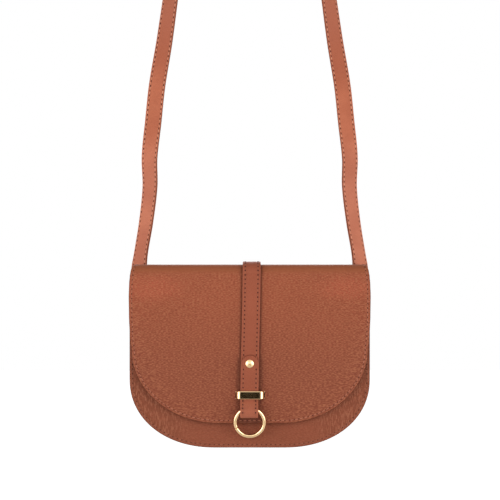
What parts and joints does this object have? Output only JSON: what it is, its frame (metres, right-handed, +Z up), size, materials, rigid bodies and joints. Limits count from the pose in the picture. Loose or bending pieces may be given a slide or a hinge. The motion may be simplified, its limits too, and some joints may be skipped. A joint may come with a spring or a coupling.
{
  "type": "sling bag",
  "caption": "Saddle-shaped leather sling bag with a D-shaped flap, a centre strap closure turned round a metal ring, and a long shoulder strap.",
  "frame": {"origin": "inside of the shoulder strap's crown, in the middle of its width, where a hook or shoulder carries the bag", "axes": "+Z up, the bag's front faces -Y, +X to the right of someone who looks at its front"},
  "size_m": [0.242, 0.0824, 0.726],
  "materials": {
    "body_leather": "pebbled, semi-matt",
    "centre_strap_leather": "fine grain, semi-matt",
    "shoulder_strap_leather": "fine grain, semi-matt",
    "strap_backing_leather": "smooth split",
    "lining_leather": "smooth, matt",
    "lining_cloth": "fine twill",
    "bonded_board": "bonded fibre board",
    "zip_tape": "woven tape",
    "gold_metal": "polished, pale gold plate",
    "plated_steel": "dull plate"
  },
  "bodies": {
    "strap": {"strap_face_left": "shoulder_strap_leather", "strap_face_right": "shoulder_strap_leather", "strap_face_crown": "shoulder_strap_leather", "strap_backing_left": "strap_backing_leather", "strap_backing_right": "strap_backing_leather", "strap_backing_crown": "strap_backing_leather"},
    "bag": {"front_panel": "body_leather", "back_panel": "body_leather", "gusset": "body_leather", "front_board": "bonded_board", "back_board": "bonded_board", "front_lining": "lining_cloth", "back_lining": "lining_cloth", "gusset_lining": "lining_cloth", "front_facing": "lining_leather", "back_facing": "lining_leather", "zip_tapes": "zip_tape", "zip_teeth": "gold_metal", "zip_stops": "gold_metal", "zip_pocket_bag": "lining_cloth", "flap_tail": "body_leather", "centre_strap_tail": "centre_strap_leather", "snap_socket": "gold_metal", "snap_socket_washer": "plated_steel", "strap_end_left": "shoulder_strap_leather", "strap_end_right": "shoulder_strap_leather", "strap_rivets": "gold_metal"},
    "flap_bridge": {"flap_bridge_leather": "body_leather", "flap_bridge_lining": "lining_leather", "centre_strap_bridge": "centre_strap_leather"},
    "flap": {"flap_leather": "body_leather", "flap_board": "bonded_board", "flap_lining": "lining_leather", "centre_strap": "centre_strap_leather", "closure_rivet": "gold_metal", "closure_rivet_base": "plated_steel", "keeper": "gold_metal", "keeper_plate": "plated_steel", "snap_stud": "gold_metal", "snap_stud_washer": "plated_steel"},
    "ring": {"closure_ring": "gold_metal"},
    "slider": {"zip_slider": "gold_metal"},
    "pull": {"zip_pull": "gold_metal"}
  },
  "joints": [
    {"name": "bag_swing", "type": "hinge", "parent": "strap", "child": "bag", "pos_m": [0, 0.00023, -0.55746], "axis": [1, 0, 0], "range_deg": [0, 120]},
    {"name": "flap_hinge", "type": "hinge", "parent": "bag", "child": "flap_bridge", "pos_m": [0, -0.00532, -0.54146], "axis": [-1, 0, 0], "range_deg": [0, 80]},
    {"name": "flap_fold", "type": "hinge", "parent": "flap_bridge", "child": "flap", "pos_m": [0, -0.05668, -0.54191], "axis": [-1, 0, 0], "range_deg": [0, 80]},
    {"name": "ring_swing", "type": "hinge", "parent": "flap", "child": "ring", "pos_m": [0, -0.06395, -0.6878], "axis": [-1, 0, 0], "range_deg": [0, 110]},
    {"name": "zip_slide", "type": "slide", "parent": "bag", "child": "slider", "axis": [-1, 0, 0], "range_m": [0, 0.1356]},
    {"name": "zip_pull_swing", "type": "hinge", "parent": "slider", "child": "pull", "pos_m": [0.0678, -0.00878, -0.608], "axis": [-1, 0, 0], "range_deg": [0, 80]}
  ],
  "couplings": [
    {"joint": "flap_fold", "follows": "flap_hinge", "ratio": 1}
  ]
}
